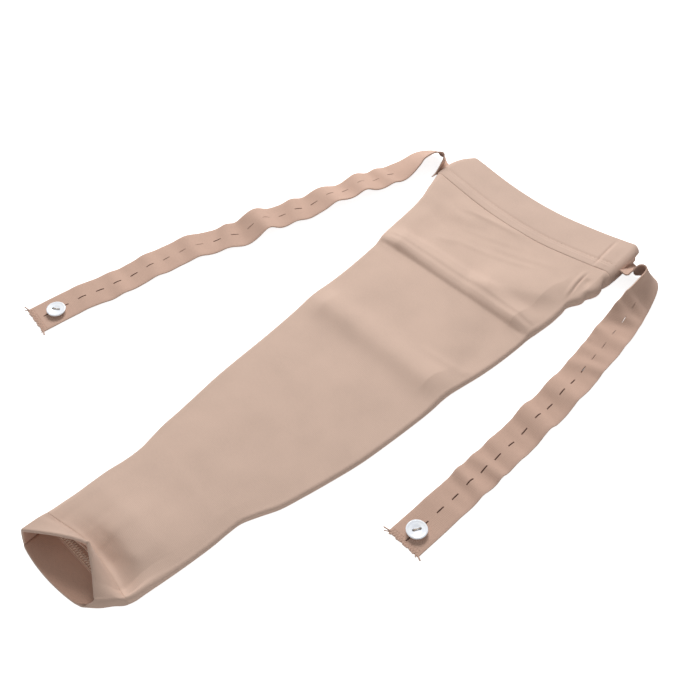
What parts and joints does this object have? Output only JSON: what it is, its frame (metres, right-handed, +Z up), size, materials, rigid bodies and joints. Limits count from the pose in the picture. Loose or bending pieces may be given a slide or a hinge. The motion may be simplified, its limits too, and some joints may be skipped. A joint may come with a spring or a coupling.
{
  "type": "compression sleeve",
  "caption": "Knitted compression sleeve for the arm laid flat, with a banded top and cuff and buttonholed elastic shoulder straps that end in sewn-on buttons.",
  "frame": {"origin": "on the underside plane of the flat-laid sleeve, near the middle of its length and width", "axes": "+Y along the sleeve from the cuff to the top band, +X to the sleeve's right seen from above, +Z up off the surface it lies on"},
  "size_m": [0.2659, 0.3744, 0.0189],
  "materials": {
    "beige_knit": "matt fine rib knit",
    "beige_knit_band": "matt fine rib knit, doubled",
    "beige_elastic": "matt woven buttonhole elastic",
    "white_button": "glossy, slightly pearly"
  },
  "bodies": {
    "root": {"cuff_band": "beige_knit_band", "sleeve_body": "beige_knit", "top_band": "beige_knit_band", "strap_left": "beige_elastic", "strap_right": "beige_elastic", "button_left": "white_button", "button_right": "white_button"}
  },
  "joints": []
}
